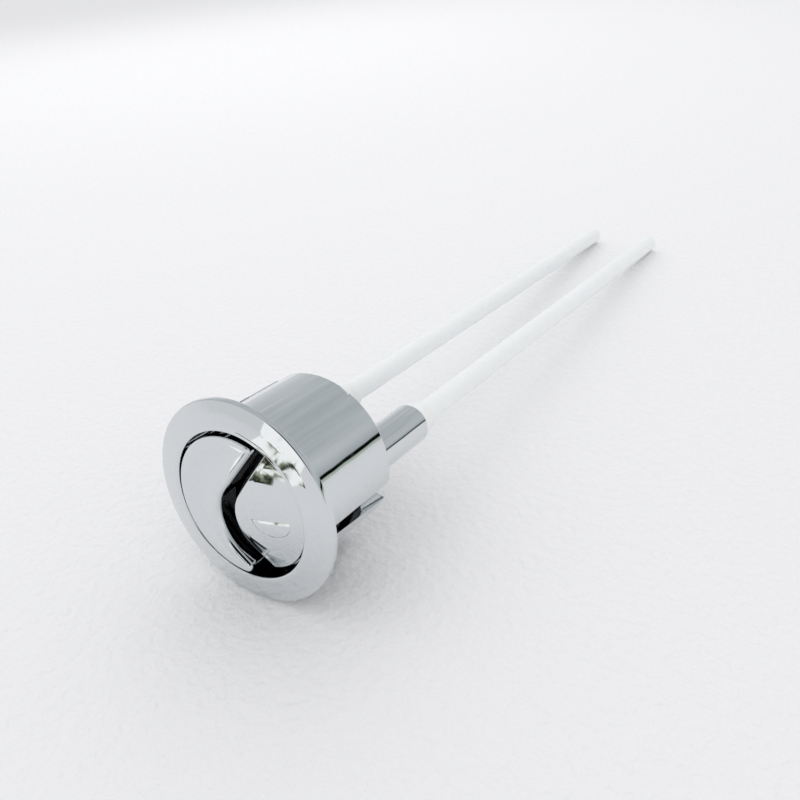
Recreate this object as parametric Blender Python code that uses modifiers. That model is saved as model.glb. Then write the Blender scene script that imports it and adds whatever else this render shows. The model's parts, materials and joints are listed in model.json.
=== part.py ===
"""Dual-flush push button for a toilet cistern lid, with two push rods.

The unit is modelled standing as it is fitted: z = 0 is the top of the cistern lid, +z points out of
the lid towards the finger, and x runs through both stems, the half-flush stem at +x.  An empty then
lays the whole unit down on a table, where it rests on the bezel's edge and on both rod tips.
All sizes are in metres.
"""
import math

import bmesh
import bpy
from mathutils import Vector

# ---------------------------------------------------------------- driving dimensions
# bezel and barrel: one chrome-plated moulding, made for a 38 mm hole in the lid
BORE_RADIUS = 0.0174
BARREL_WALL = 0.0016
BARREL_LENGTH = 0.0260
BARREL_REAR_CHAMFER = 0.0004
FLANGE_WIDTH = 0.0050
FLANGE_EDGE = 0.0013
FLANGE_EDGE_ROUND = 0.0005
BEZEL_HEIGHT = 0.0027
BEZEL_CREST_WIDTH = 0.0011
BEZEL_CREST_ROUND = 0.0004

# snap tongues: each is left standing between two slots that widen towards the rear
TONGUE_ANGLES = (-37.5, 142.5)
TONGUE_ROOT_DEPTH = 0.0030
SLOT_ANGLE = 20.5
SLOT_FRONT_WIDTH = 0.0028
SLOT_REAR_WIDTH = 0.0051
BARB_WIDTH = 0.0070
BARB_HEIGHT = 0.0041
NOTCH_ANGLE = 65.0
NOTCH_WIDTH = 0.0024
NOTCH_DEPTH = 0.0010

# buttons: the outline of each along the gap between them is two straight arms and a round bend;
# the bend's centre is placed from the half-flush stem, and the bend passes the other plunger
FULL_BEND_FROM_STEM = (-0.0067, -0.0038)
FULL_ARM_ANGLES = (53.0, -34.5)
HALF_BEND_FROM_STEM = (-0.0049, -0.0039)
HALF_ARM_ANGLES = (56.0, -39.5)
BEND_MARGIN = 0.00075
BEND_STEP = 0.0009
CAP_GAP = 0.0009
FULL_CAP_TOP = 0.0031
HALF_CAP_TOP = 0.0012
CAP_TOP_THICKNESS = 0.0016
CAP_WALL = 0.0012
CAP_EDGE_ROUND = 0.0004
SKIRT_DEPTH = 0.0045
CAP_BOSS_WALL = 0.0013
TRAVEL = 0.0060

# half-flush mark: a half-moon recess
MARK_FROM_STEM = (-0.0043, -0.0020)
MARK_ANGLE = 14.0
MARK_HALF_LENGTH = 0.0056
MARK_WIDTH = 0.0042
MARK_DEPTH = 0.0007

# push rods and the bushes that hold them in the stems
ROD_RADIUS = 0.0029
ROD_LENGTH = 0.18225
ROD_TIP_ROUND = 0.0017
BUSH_WALL = 0.0007
BUSH_LENGTH = 0.0100
BUSH_END_WALL = 0.0012
BUSH_COLLAR_LIP = 0.0007
BUSH_COLLAR_LENGTH = 0.0013
BUSH_TAIL_LENGTH = 0.0040
BUSH_TAIL_WALL = 0.0006

# stems, plungers and springs
STEM_WALL = 0.00085
STEM_LENGTH = 0.02355
STEM_END_CHAMFER = 0.0003
STEM_KEY_ANGLE = -50.0
STEM_KEY_WIDTH = 0.0013
STEM_KEY_LENGTH = 0.0012
NECK_SOCKET = 0.0060
PLUNGER_RIM = 0.0013
PLUNGER_SIDE_CLEARANCE = 0.0009
PLUNGER_DISC_THICKNESS = 0.0015
PLUNGER_WEB = 0.0030
SPRING_WIRE_RADIUS = 0.0003
SPRING_TURNS = 5
SPRING_NECK_CLEARANCE = 0.0005
SPRING_RESERVE = 0.0005

# carrier: the black moulding that guides both plungers
CARRIER_FLOOR = 0.0025
FENCE_TOP_DEPTH = 0.0030
FENCE_CLEARANCE = 0.0006
SLEEVE_WALL = 0.0012
SLEEVE_LENGTH = 0.0030

# small parts
BUFFER_THICKNESS = 0.0006
PIN_RADIUS = 0.0006
PIN_SETBACK = 0.0014
SCREW_RADIUS = 0.0010
SCREW_HEAD_RADIUS = 0.0018
SCREW_HEAD_HEIGHT = 0.0015
SCREW_BITE = 0.0029
GASKET_WIDTH = 0.0025
GASKET_THICKNESS = 0.0010

# clearance between pieces that touch, how far a cutter runs past a face, and the weld distance
GAP = 0.0003
OVERRUN = 0.0010
MERGE = 0.00001

# ---------------------------------------------------------------- sizes that follow from them
BARREL_RADIUS = BORE_RADIUS + BARREL_WALL
BARREL_MID_RADIUS = BORE_RADIUS + BARREL_WALL / 2
FLANGE_RADIUS = BARREL_RADIUS + FLANGE_WIDTH
GASKET_INNER_RADIUS = BARREL_RADIUS + GAP
CAP_RADIUS = BORE_RADIUS - CAP_GAP
BUSH_BORE_RADIUS = ROD_RADIUS + GAP
BUSH_RADIUS = BUSH_BORE_RADIUS + BUSH_WALL
STEM_BORE_RADIUS = BUSH_RADIUS + GAP
STEM_RADIUS = STEM_BORE_RADIUS + STEM_WALL
NECK_RADIUS = STEM_BORE_RADIUS - GAP
NECK_BORE_RADIUS = SCREW_HEAD_RADIUS + GAP
SCREW_HOLE_RADIUS = SCREW_RADIUS + GAP
GUIDE_RADIUS = NECK_RADIUS + GAP
SPRING_RADIUS = NECK_RADIUS + SPRING_NECK_CLEARANCE + SPRING_WIRE_RADIUS
SPRING_LENGTH = TRAVEL + 2 * SPRING_WIRE_RADIUS * SPRING_TURNS + SPRING_RESERVE
PLUNGER_RADIUS = NECK_RADIUS + PLUNGER_RIM
STEM_OFFSET = BORE_RADIUS - PLUNGER_SIDE_CLEARANCE - PLUNGER_RADIUS
DISC_TOP = -SKIRT_DEPTH - GAP
DISC_BOTTOM = DISC_TOP - PLUNGER_DISC_THICKNESS
WEB_BOTTOM = DISC_TOP - PLUNGER_WEB
SPRING_TOP = DISC_BOTTOM - GAP
SPRING_BOTTOM = SPRING_TOP - SPRING_LENGTH
FLOOR_TOP = SPRING_BOTTOM - GAP
FLOOR_BOTTOM = FLOOR_TOP - CARRIER_FLOOR
SLEEVE_END = FLOOR_BOTTOM - SLEEVE_LENGTH
BUFFER_TOP = SLEEVE_END - GAP
BUFFER_BOTTOM = BUFFER_TOP - BUFFER_THICKNESS
STEM_TOP = BUFFER_BOTTOM - GAP
STEM_END = STEM_TOP - STEM_LENGTH
NECK_END = STEM_TOP - NECK_SOCKET
PIN_Z = STEM_TOP - PIN_SETBACK
BARB_TOP = FLOOR_BOTTOM - GAP
COLLAR_TOP = STEM_END - GAP
COLLAR_BOTTOM = COLLAR_TOP - BUSH_COLLAR_LENGTH
BUSH_TOP = STEM_END + BUSH_LENGTH
BUSH_END = COLLAR_BOTTOM - BUSH_TAIL_LENGTH
ROD_TOP = BUSH_TOP - BUSH_END_WALL - GAP
ROD_END = ROD_TOP - ROD_LENGTH
FULL_BEND = (STEM_OFFSET + FULL_BEND_FROM_STEM[0], FULL_BEND_FROM_STEM[1])
HALF_BEND = (STEM_OFFSET + HALF_BEND_FROM_STEM[0], HALF_BEND_FROM_STEM[1])
MARK_CENTRE = (STEM_OFFSET + MARK_FROM_STEM[0], MARK_FROM_STEM[1])
FULL_BEND_RADIUS = (math.hypot(FULL_BEND[0] + STEM_OFFSET, FULL_BEND[1])
                    - PLUNGER_RADIUS - BEND_MARGIN)
HALF_BEND_RADIUS = FULL_BEND_RADIUS - BEND_STEP

# facets round a turned piece, along a bend, along a rim and along the mark
HOUSING_STEPS = 96
LARGE_STEPS = 64
ROUND_STEPS = 48
SMALL_STEPS = 32
SCREW_STEPS = 16
BEND_STEPS = 12
RIM_STEPS = 30
MARK_STEPS = 16
TIP_STEPS = 4


def lean_angle():
    """Lean of the axis below the level when bezel edge and rod tips lie on one plane."""
    reach = -ROD_END - ROD_TIP_ROUND
    rise = FLANGE_RADIUS - ROD_RADIUS + ROD_TIP_ROUND
    return math.acos(ROD_TIP_ROUND / math.hypot(rise, reach)) - math.atan2(reach, rise)


# ---------------------------------------------------------------- scene, materials, helpers
for old in list(bpy.data.objects):
    bpy.data.objects.remove(old, do_unlink=True)

parts = bpy.data.collections.new("dual_flush_push_button")
cutters = bpy.data.collections.new("cutters")
bpy.context.scene.collection.children.link(parts)
bpy.context.scene.collection.children.link(cutters)

laid_down = bpy.data.objects.new("laid_down", None)
laid_down.rotation_euler = (math.pi / 2 - lean_angle(), 0.0, 0.0)
parts.objects.link(laid_down)


def make_material(name, colour, roughness, metallic=0.0):
    material = bpy.data.materials.new(name)
    material.use_nodes = True
    shader = material.node_tree.nodes["Principled BSDF"]
    shader.inputs["Base Color"].default_value = (*colour, 1.0)
    shader.inputs["Roughness"].default_value = roughness
    shader.inputs["Metallic"].default_value = metallic
    return material


chrome = make_material("chrome_plate", (0.80, 0.82, 0.84), 0.06, 1.0)
spring_steel = make_material("spring_steel", (0.55, 0.55, 0.56), 0.30, 1.0)
zinc_steel = make_material("zinc_plated_steel", (0.66, 0.67, 0.68), 0.35, 1.0)
black_plastic = make_material("black_plastic", (0.012, 0.012, 0.013), 0.45)
white_plastic = make_material("white_plastic", (0.86, 0.87, 0.87), 0.38)
black_rubber = make_material("black_rubber", (0.020, 0.020, 0.020), 0.80)
grey_foam = make_material("grey_foam", (0.16, 0.16, 0.17), 0.95)


def add_object(name, mesh, material=None, parent=laid_down):
    """Put a mesh in the scene; one without a material becomes a cutter later."""
    obj = bpy.data.objects.new(name, mesh)
    parts.objects.link(obj)
    obj.parent = parent
    if material is not None:
        mesh.materials.append(material)
    return obj


def set_origin_empty(name, x):
    """Empty on the sliding axis of one button; the pieces that ride on it are its children."""
    empty = bpy.data.objects.new(name, None)
    parts.objects.link(empty)
    empty.parent = laid_down
    empty.location = (x, 0.0, 0.0)
    return empty


def as_cutter(obj):
    for holder in list(obj.users_collection):
        holder.objects.unlink(obj)
    cutters.objects.link(obj)
    obj.hide_render = True
    obj.display_type = 'WIRE'
    return obj


def turned(name, profile, material=None, parent=laid_down, steps=ROUND_STEPS):
    """(radius, z) outline turned about z.  It runs down its outer side, top to bottom.

    An outline that starts and ends on the axis stays open; any other is closed to a ring.
    """
    bm = bmesh.new()
    corners = [bm.verts.new((radius, 0.0, z)) for radius, z in profile]
    for first, second in zip(corners, corners[1:]):
        bm.edges.new((first, second))
    if profile[0][0] > 0.0:
        bm.edges.new((corners[-1], corners[0]))
    mesh = bpy.data.meshes.new(name)
    bm.to_mesh(mesh)
    bm.free()
    obj = add_object(name, mesh, material, parent)
    screw = obj.modifiers.new("turn", 'SCREW')
    screw.axis = 'Z'
    screw.angle = math.tau
    screw.steps = steps
    screw.render_steps = steps
    screw.use_merge_vertices = True
    screw.merge_threshold = MERGE
    return obj


def tube(name, outer, inner, top, bottom, material=None, parent=laid_down, steps=ROUND_STEPS):
    return turned(name, [(outer, top), (outer, bottom), (inner, bottom), (inner, top)],
                  material, parent, steps)


def cylinder(name, radius, top, bottom, x=0.0, sides=ROUND_STEPS, material=None,
             parent=laid_down):
    bm = bmesh.new()
    bmesh.ops.create_cone(bm, cap_ends=True, segments=sides, radius1=radius, radius2=radius,
                          depth=top - bottom)
    mesh = bpy.data.meshes.new(name)
    bm.to_mesh(mesh)
    bm.free()
    obj = add_object(name, mesh, material, parent)
    obj.location = (x, 0.0, (top + bottom) / 2)
    return obj


def plate(name, outline, top, bottom, material=None, parent=laid_down):
    """Flat (x, y) outline with straight sides between two heights, as one welded mesh."""
    curve = bpy.data.curves.new(name, 'CURVE')
    curve.dimensions = '2D'
    curve.fill_mode = 'BOTH'
    curve.extrude = (top - bottom) / 2
    spline = curve.splines.new('POLY')
    spline.points.add(len(outline) - 1)
    for point, (x, y) in zip(spline.points, outline):
        point.co = (x, y, 0.0, 1.0)
    spline.use_cyclic_u = True
    flat = bpy.data.objects.new(name + "_curve", curve)
    bpy.context.scene.collection.objects.link(flat)
    bpy.context.view_layer.update()
    mesh = bpy.data.meshes.new_from_object(flat.evaluated_get(bpy.context.evaluated_depsgraph_get()))
    bpy.data.objects.remove(flat, do_unlink=True)
    bm = bmesh.new()
    bm.from_mesh(mesh)
    bmesh.ops.remove_doubles(bm, verts=bm.verts, dist=MERGE)
    bmesh.ops.recalc_face_normals(bm, faces=bm.faces)
    bm.to_mesh(mesh)
    bm.free()
    mesh.name = name
    mesh.materials.clear()
    obj = add_object(name, mesh, material, parent)
    obj.location = (0.0, 0.0, (top + bottom) / 2)
    return obj


def boolean(target, tool, operation):
    """Cut or join with a tool, which becomes a hidden cutter."""
    modifier = target.modifiers.new(tool.name, 'BOOLEAN')
    modifier.operation = operation
    modifier.solver = 'EXACT'
    modifier.object = as_cutter(tool)


def shade(obj):
    """Smooth shading with crisp edges on the round pieces' own mesh."""
    obj.data.shade_smooth()
    obj.data.set_sharp_from_angle(angle=math.radians(35))
    for modifier in obj.modifiers:
        if modifier.type == 'SCREW':
            modifier.use_smooth_shade = True


def on_circle(radius, degrees, centre=(0.0, 0.0)):
    angle = math.radians(degrees)
    return centre[0] + radius * math.cos(angle), centre[1] + radius * math.sin(angle)


# ---------------------------------------------------------------- outline of a button
def arm_end(start, degrees, radius):
    """Point where an arm that leaves start in a direction meets a circle about the axis."""
    direction = Vector((math.cos(math.radians(degrees)), math.sin(math.radians(degrees))))
    along = Vector(start).dot(direction)
    run = -along + math.sqrt(along ** 2 - Vector(start).length_squared + radius ** 2)
    return Vector(start) + run * direction


def button_outline(side, inset, rim_radius):
    """Outline of the full-flush (side -1) or half-flush (side +1) button, shrunk by an inset.

    The inner edge is an arc that two straight arms leave at a tangent; the arms end on the rim.
    """
    if side < 0:
        centre, radius, arms = FULL_BEND, FULL_BEND_RADIUS + inset, FULL_ARM_ANGLES
    else:
        centre, radius, arms = HALF_BEND, HALF_BEND_RADIUS - inset, HALF_ARM_ANGLES
    first, last = arms[0] + 90.0, arms[1] + 270.0
    bend = [on_circle(radius, first + (last - first) * i / BEND_STEPS, centre)
            for i in range(BEND_STEPS + 1)]
    upper = arm_end(bend[0], arms[0], rim_radius - inset)
    lower = arm_end(bend[-1], arms[1], rim_radius - inset)
    start = math.degrees(math.atan2(lower.y, lower.x))
    end = math.degrees(math.atan2(upper.y, upper.x))
    if side < 0:
        start += 360.0
    rim = [on_circle(rim_radius - inset, start + (end - start) * i / RIM_STEPS)
           for i in range(RIM_STEPS + 1)]
    return bend + rim


# ---------------------------------------------------------------- bezel and barrel
def make_housing():
    profile = [
        (BORE_RADIUS + BEZEL_CREST_ROUND, BEZEL_HEIGHT),
        (BORE_RADIUS + BEZEL_CREST_WIDTH, BEZEL_HEIGHT),
        (FLANGE_RADIUS - FLANGE_EDGE_ROUND, FLANGE_EDGE),
        (FLANGE_RADIUS, FLANGE_EDGE - FLANGE_EDGE_ROUND),
        (FLANGE_RADIUS, 0.0),
        (BARREL_RADIUS, 0.0),
        (BARREL_RADIUS, -BARREL_LENGTH + BARREL_REAR_CHAMFER),
        (BARREL_RADIUS - BARREL_REAR_CHAMFER, -BARREL_LENGTH),
        (BORE_RADIUS, -BARREL_LENGTH),
        (BORE_RADIUS, BEZEL_HEIGHT - BEZEL_CREST_ROUND),
    ]
    housing = turned("bezel_housing", profile, chrome, steps=HOUSING_STEPS)
    for tongue, tongue_angle in enumerate(TONGUE_ANGLES):
        for way in (-1, 1):
            boolean(housing, make_slot(f"slot_{tongue}_{way}", tongue_angle, way), 'DIFFERENCE')
    for tongue, tongue_angle in enumerate(TONGUE_ANGLES):
        boolean(housing, make_barb(f"barb_{tongue}", tongue_angle), 'UNION')
    boolean(housing, make_notch(), 'DIFFERENCE')
    shade(housing)
    return housing


def make_slot(name, tongue_angle, way):
    """Wedge beside a tongue: its barrel side is straight, its tongue side opens to the rear."""
    outer_edge = SLOT_FRONT_WIDTH - GAP
    outline = [
        (outer_edge * way, -TONGUE_ROOT_DEPTH),
        ((outer_edge - SLOT_FRONT_WIDTH) * way, -TONGUE_ROOT_DEPTH),
        ((outer_edge - SLOT_REAR_WIDTH) * way, -BARREL_LENGTH - OVERRUN),
        (outer_edge * way, -BARREL_LENGTH - OVERRUN),
    ]
    wedge = plate(name, outline, BARREL_RADIUS + OVERRUN, BORE_RADIUS - 2 * OVERRUN)
    angle = math.radians(tongue_angle + way * SLOT_ANGLE)
    for vertex in wedge.data.vertices:
        along, z, radial = vertex.co
        vertex.co = (radial, along, z)
    half_way = (BARREL_RADIUS - OVERRUN + BORE_RADIUS) / 2
    wedge.location = (half_way * math.cos(angle), half_way * math.sin(angle), 0.0)
    wedge.rotation_euler = (0.0, 0.0, angle)
    return wedge


def make_box(name, size, centre, angle_degrees=0.0, radius=0.0):
    """Box of a size, at a centre that is turned about z at a radius."""
    bm = bmesh.new()
    bmesh.ops.create_cube(bm, size=1.0)
    bmesh.ops.scale(bm, vec=size, verts=bm.verts)
    mesh = bpy.data.meshes.new(name)
    bm.to_mesh(mesh)
    bm.free()
    obj = add_object(name, mesh)
    x, y = on_circle(radius, angle_degrees)
    obj.location = (centre[0] + x, centre[1] + y, centre[2])
    obj.rotation_euler = (0.0, 0.0, math.radians(angle_degrees))
    return obj


def make_barb(name, tongue_angle):
    """Thick inner end of a tongue, which holds the carrier in the barrel."""
    length = BARREL_LENGTH + BARB_TOP
    size = (BARB_HEIGHT - BARREL_WALL / 2, BARB_WIDTH, length)
    return make_box(name, size, (0.0, 0.0, BARB_TOP - length / 2), tongue_angle,
                    BARREL_MID_RADIUS - size[0] / 2)


def make_notch():
    size = (BARREL_WALL * 3, NOTCH_WIDTH, NOTCH_DEPTH * 2)
    return make_box("rear_notch", size, (0.0, 0.0, -BARREL_LENGTH), NOTCH_ANGLE, BARREL_MID_RADIUS)


def make_gasket():
    tube("lid_gasket", GASKET_INNER_RADIUS + GASKET_WIDTH, GASKET_INNER_RADIUS, -GAP,
         -GAP - GASKET_THICKNESS, grey_foam, steps=LARGE_STEPS)


# ---------------------------------------------------------------- carrier
def make_carrier():
    """Floor with two guide sleeves, and a bent fence that stands in the gap between the buttons."""
    carrier = cylinder("inner_carrier", BORE_RADIUS - GAP, -FENCE_TOP_DEPTH, FLOOR_BOTTOM,
                       sides=LARGE_STEPS, material=black_plastic)
    for side, label in ((-1, "full"), (1, "half")):
        outline = button_outline(side, -FENCE_CLEARANCE, BORE_RADIUS + OVERRUN)
        pocket = plate(f"{label}_pocket", outline, OVERRUN, FLOOR_TOP)
        boolean(carrier, pocket, 'DIFFERENCE')
        sleeve = cylinder(f"{label}_sleeve", GUIDE_RADIUS + SLEEVE_WALL, FLOOR_BOTTOM + OVERRUN, SLEEVE_END,
                          x=side * STEM_OFFSET)
        boolean(carrier, sleeve, 'UNION')
        hole = cylinder(f"{label}_guide_hole", GUIDE_RADIUS, FLOOR_TOP + OVERRUN,
                        SLEEVE_END - OVERRUN, x=side * STEM_OFFSET)
        boolean(carrier, hole, 'DIFFERENCE')
    shade(carrier)


# ---------------------------------------------------------------- buttons
def round_top_edge(obj, width):
    """Small round along the upper edge of a straight-sided plate."""
    bm = bmesh.new()
    bm.from_mesh(obj.data)
    top = max(vertex.co.z for vertex in bm.verts)
    upper = [edge for edge in bm.edges
             if all(abs(vertex.co.z - top) < MERGE for vertex in edge.verts)
             and any(abs(face.normal.z) < 0.5 for face in edge.link_faces)]
    bmesh.ops.bevel(bm, geom=upper, offset=width, segments=2, profile=0.5, affect='EDGES',
                    material=-1)
    bm.to_mesh(obj.data)
    bm.free()


def make_cap(label, side, top, axis):
    name = f"{label}_flush_cap"
    ceiling = top - CAP_TOP_THICKNESS
    cap = plate(name, button_outline(side, 0.0, CAP_RADIUS), top, -SKIRT_DEPTH, chrome)
    round_top_edge(cap, CAP_EDGE_ROUND)
    hollow = plate(f"{label}_hollow", button_outline(side, CAP_WALL, CAP_RADIUS), ceiling,
                   -SKIRT_DEPTH - OVERRUN)
    boolean(cap, hollow, 'DIFFERENCE')
    boss = cylinder(f"{label}_boss", SCREW_HOLE_RADIUS + CAP_BOSS_WALL,
                    ceiling + CAP_TOP_THICKNESS / 2, -SKIRT_DEPTH, x=side * STEM_OFFSET,
                    sides=SMALL_STEPS)
    boolean(cap, boss, 'UNION')
    pilot_top = -SKIRT_DEPTH + SCREW_BITE + GAP
    pilot = cylinder(f"{label}_pilot", SCREW_HOLE_RADIUS, pilot_top, -SKIRT_DEPTH - OVERRUN,
                     x=side * STEM_OFFSET, sides=SCREW_STEPS)
    boolean(cap, pilot, 'DIFFERENCE')
    if side > 0:
        boolean(cap, make_mark(top), 'DIFFERENCE')
    move_origin(cap, axis)


def make_mark(top):
    """Half-moon cutter: a straight side and half an ellipse."""
    outline = []
    turn = math.radians(MARK_ANGLE)
    for i in range(MARK_STEPS + 1):
        angle = math.pi + math.pi * i / MARK_STEPS
        along = MARK_HALF_LENGTH * math.cos(angle)
        across = MARK_WIDTH * math.sin(angle)
        outline.append((MARK_CENTRE[0] + along * math.cos(turn) - across * math.sin(turn),
                        MARK_CENTRE[1] + along * math.sin(turn) + across * math.cos(turn)))
    return plate("half_moon", outline, top + OVERRUN, top - MARK_DEPTH)


def move_origin(obj, axis):
    """Re-parent a piece to its sliding axis, with its origin on it, and leave its shape in place."""
    offset = Vector(obj.location) - Vector(axis.location)
    for vertex in obj.data.vertices:
        vertex.co += offset
    obj.parent = axis
    obj.location = (0.0, 0.0, 0.0)


# ---------------------------------------------------------------- plunger, spring, stem and rod
def make_plunger(label, axis):
    """Disc under the button and a hollow neck that slides in the carrier's sleeve."""
    profile = [
        (PLUNGER_RADIUS, DISC_TOP),
        (PLUNGER_RADIUS, DISC_BOTTOM),
        (NECK_RADIUS, DISC_BOTTOM),
        (NECK_RADIUS, NECK_END),
        (NECK_BORE_RADIUS, NECK_END),
        (NECK_BORE_RADIUS, WEB_BOTTOM),
        (SCREW_HOLE_RADIUS, WEB_BOTTOM),
        (SCREW_HOLE_RADIUS, DISC_TOP),
    ]
    plunger = turned(f"{label}_flush_plunger", profile, black_plastic, axis, steps=SMALL_STEPS)
    boolean(plunger, cross_hole(f"{label}_neck_pin_hole", axis), 'DIFFERENCE')
    shade(plunger)


def cross_hole(name, axis):
    hole = cylinder(name, PIN_RADIUS + GAP, STEM_RADIUS + OVERRUN, -STEM_RADIUS - OVERRUN,
                    sides=SCREW_STEPS, parent=axis)
    hole.location = (0.0, 0.0, PIN_Z)
    hole.rotation_euler = (math.pi / 2, 0.0, 0.0)
    return hole


def make_pin(label, axis):
    """Cross pin that locks the stem on the plunger's neck."""
    pin = cylinder(f"{label}_stem_pin", PIN_RADIUS, STEM_RADIUS - GAP, -STEM_RADIUS + GAP,
                   sides=SCREW_STEPS, material=zinc_steel, parent=axis)
    pin.location = (0.0, 0.0, PIN_Z)
    pin.rotation_euler = (math.pi / 2, 0.0, 0.0)
    shade(pin)


def make_screw(label, axis):
    """Pan-head screw that holds the button on the plunger."""
    head_top = WEB_BOTTOM - GAP
    head_bottom = head_top - SCREW_HEAD_HEIGHT
    profile = [
        (0.0, -SKIRT_DEPTH + SCREW_BITE),
        (SCREW_RADIUS, -SKIRT_DEPTH + SCREW_BITE - SCREW_RADIUS / 2),
        (SCREW_RADIUS, head_top),
        (SCREW_HEAD_RADIUS, head_top),
        (SCREW_HEAD_RADIUS, head_bottom + SCREW_HEAD_HEIGHT / 3),
        (SCREW_RADIUS, head_bottom),
        (0.0, head_bottom),
    ]
    shade(turned(f"{label}_cap_screw", profile, zinc_steel, axis, steps=SCREW_STEPS))


def make_spring(label, axis):
    """Round-wire coil between the carrier's floor and the plunger's disc."""
    curve = bpy.data.curves.new(f"{label}_return_spring", 'CURVE')
    curve.dimensions = '3D'
    curve.bevel_depth = SPRING_WIRE_RADIUS
    curve.bevel_resolution = 2
    curve.use_fill_caps = True
    spline = curve.splines.new('POLY')
    count = SCREW_STEPS * SPRING_TURNS + 1
    spline.points.add(count - 1)
    low = SPRING_BOTTOM + SPRING_WIRE_RADIUS
    high = SPRING_TOP - SPRING_WIRE_RADIUS
    for i, point in enumerate(spline.points):
        x, y = on_circle(SPRING_RADIUS, 360.0 * i / SCREW_STEPS)
        point.co = (x, y, low + (high - low) * i / (count - 1), 1.0)
    spring = bpy.data.objects.new(f"{label}_return_spring", curve)
    curve.materials.append(spring_steel)
    parts.objects.link(spring)
    spring.parent = axis


def make_buffer(label, axis):
    tube(f"{label}_buffer", STEM_RADIUS, GUIDE_RADIUS, BUFFER_TOP, BUFFER_BOTTOM, black_rubber,
         axis, steps=SMALL_STEPS)


def make_stem(label, axis):
    """Chrome tube behind the button, notched at its rear end for the bush's key."""
    profile = [
        (STEM_RADIUS, STEM_TOP),
        (STEM_RADIUS, STEM_END + STEM_END_CHAMFER),
        (STEM_RADIUS - STEM_END_CHAMFER, STEM_END),
        (STEM_BORE_RADIUS, STEM_END),
        (STEM_BORE_RADIUS, STEM_TOP),
    ]
    stem = turned(f"{label}_flush_stem", profile, chrome, axis)
    boolean(stem, cross_hole(f"{label}_stem_pin_hole", axis), 'DIFFERENCE')
    notch = make_box(f"{label}_key_notch",
                     (3 * STEM_WALL, STEM_KEY_WIDTH + 2 * GAP, 2 * (STEM_KEY_LENGTH + GAP)),
                     (0.0, 0.0, STEM_END), STEM_KEY_ANGLE, STEM_RADIUS - STEM_WALL / 2)
    notch.parent = axis
    boolean(stem, notch, 'DIFFERENCE')
    shade(stem)


def make_bush(label, axis):
    """White plug in the stem's end with a collar, a key and a tapered tail that grips the rod."""
    profile = [
        (0.0, BUSH_TOP),
        (BUSH_RADIUS, BUSH_TOP),
        (BUSH_RADIUS, COLLAR_TOP),
        (BUSH_RADIUS + BUSH_COLLAR_LIP, COLLAR_TOP),
        (BUSH_RADIUS + BUSH_COLLAR_LIP, COLLAR_BOTTOM),
        (BUSH_RADIUS, COLLAR_BOTTOM),
        (BUSH_BORE_RADIUS + BUSH_TAIL_WALL, BUSH_END),
        (BUSH_BORE_RADIUS, BUSH_END),
        (BUSH_BORE_RADIUS, BUSH_TOP - BUSH_END_WALL),
        (0.0, BUSH_TOP - BUSH_END_WALL),
    ]
    bush = turned(f"{label}_rod_bush", profile, white_plastic, axis, steps=SMALL_STEPS)
    inner_face = BUSH_RADIUS - STEM_WALL / 2
    key = make_box(f"{label}_key", (STEM_RADIUS - inner_face, STEM_KEY_WIDTH, STEM_KEY_LENGTH),
                   (0.0, 0.0, COLLAR_TOP - GAP + STEM_KEY_LENGTH / 2), STEM_KEY_ANGLE,
                   (STEM_RADIUS + inner_face) / 2)
    key.parent = axis
    boolean(bush, key, 'UNION')
    shade(bush)


def make_rod(label, axis):
    """Straight push rod; its tip is rounded down to a small flat."""
    round_centre = (ROD_RADIUS - ROD_TIP_ROUND, ROD_END + ROD_TIP_ROUND)
    profile = [(0.0, ROD_TOP), (ROD_RADIUS, ROD_TOP)]
    profile += [on_circle(ROD_TIP_ROUND, -90.0 * i / TIP_STEPS, round_centre)
                for i in range(TIP_STEPS + 1)]
    profile.append((0.0, ROD_END))
    shade(turned(f"{label}_push_rod", profile, white_plastic, axis, steps=SMALL_STEPS))


# ---------------------------------------------------------------- assembly
def stand_on_table():
    """Move the unit so that the middle of its box, at table height, is the world's origin."""
    bpy.context.view_layer.update()
    graph = bpy.context.evaluated_depsgraph_get()
    corners = []
    for obj in parts.objects:
        if obj.type in {'MESH', 'CURVE'}:
            final = obj.evaluated_get(graph)
            mesh = final.to_mesh()
            corners += [final.matrix_world @ vertex.co for vertex in mesh.vertices]
            final.to_mesh_clear()
    low = Vector([min(corner[i] for corner in corners) for i in range(3)])
    high = Vector([max(corner[i] for corner in corners) for i in range(3)])
    laid_down.location = (-(low.x + high.x) / 2, -(low.y + high.y) / 2, -low.z)
    print("flange centre", [round(value, 6) for value in laid_down.location],
          "lean", round(math.degrees(lean_angle()), 4),
          "size", [round(value, 6) for value in high - low])


make_housing()
make_gasket()
make_carrier()
for label, side, cap_top in (("full", -1, FULL_CAP_TOP), ("half", 1, HALF_CAP_TOP)):
    axis = set_origin_empty(f"{label}_flush_axis", side * STEM_OFFSET)
    make_cap(label, side, cap_top, axis)
    make_plunger(label, axis)
    make_screw(label, axis)
    make_spring(label, axis)
    make_buffer(label, axis)
    make_stem(label, axis)
    make_pin(label, axis)
    make_bush(label, axis)
    make_rod(label, axis)
stand_on_table()
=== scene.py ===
# %% [markdown]
# # A dual-flush push button, from frame to finish
# The object is the chrome button of a toilet cistern.  A round bezel and its barrel drop through a hole
# in the lid.  A large and a small button each push a chrome stem and a long white rod.
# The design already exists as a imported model, the frame.  This file gives that frame its looks: it
# remakes the visible pieces with fine curves and soft edges, and gives each one a real finish.

# %% Load the frame
import json
import math

import bmesh
import bpy
from mathutils import Matrix, Vector


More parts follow.
